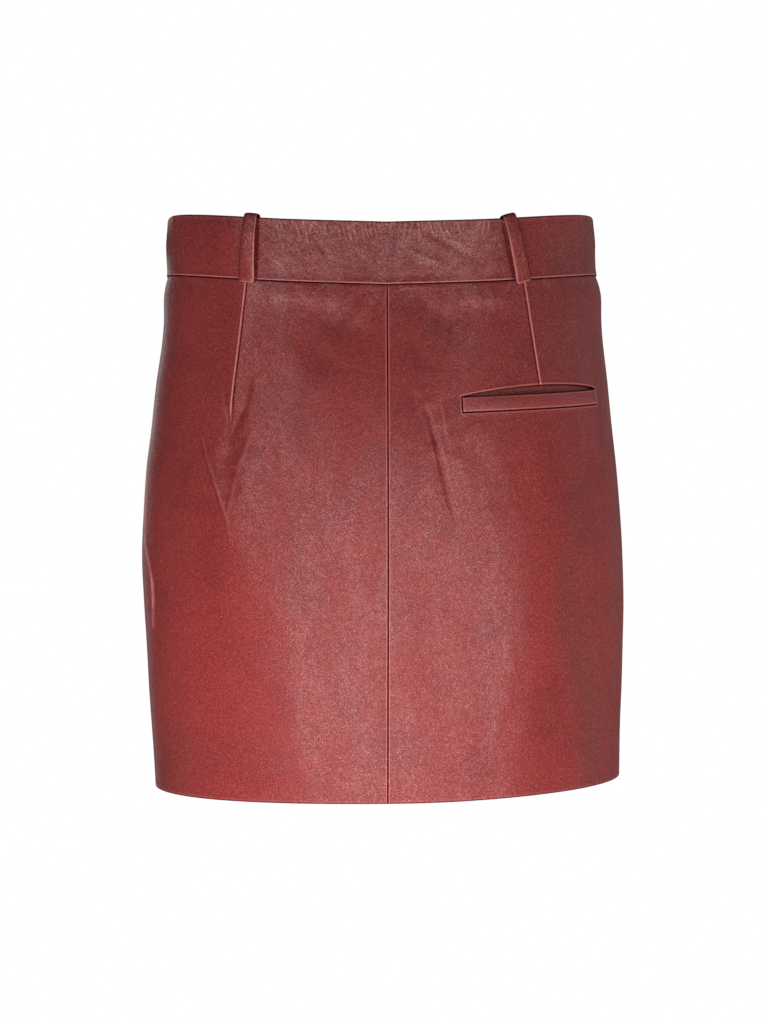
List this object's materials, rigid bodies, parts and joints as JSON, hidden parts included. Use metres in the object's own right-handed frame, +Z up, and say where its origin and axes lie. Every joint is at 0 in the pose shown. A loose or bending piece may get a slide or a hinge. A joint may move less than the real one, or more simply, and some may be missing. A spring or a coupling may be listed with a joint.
{
  "type": "leather skirt",
  "caption": "Short straight leather skirt, filled out as worn, with a waistband, belt loops, waist darts, a centre back seam and a welt pocket on the back.",
  "frame": {"origin": "the middle of the waist, at half the height of the waistband, where a wearer holds the skirt up", "axes": "+X to the wearer's right, +Y forward, away from the back that the picture shows, +Z up"},
  "size_m": [0.338, 0.2471, 0.4],
  "materials": {
    "leather": "smooth grained nappa with a soft semi-gloss",
    "facing_leather": "the same leather, in the shade of the pocket"
  },
  "bodies": {
    "root": {"panel_back_left": "leather", "panel_back_right": "leather", "panel_front": "leather", "waistband_back": "leather", "waistband_front": "leather", "loop_back_left": "leather", "loop_back_right": "leather", "loop_front_right": "leather", "loop_front_left": "leather", "pocket_welt": "leather", "pocket_facing": "facing_leather"}
  },
  "joints": []
}
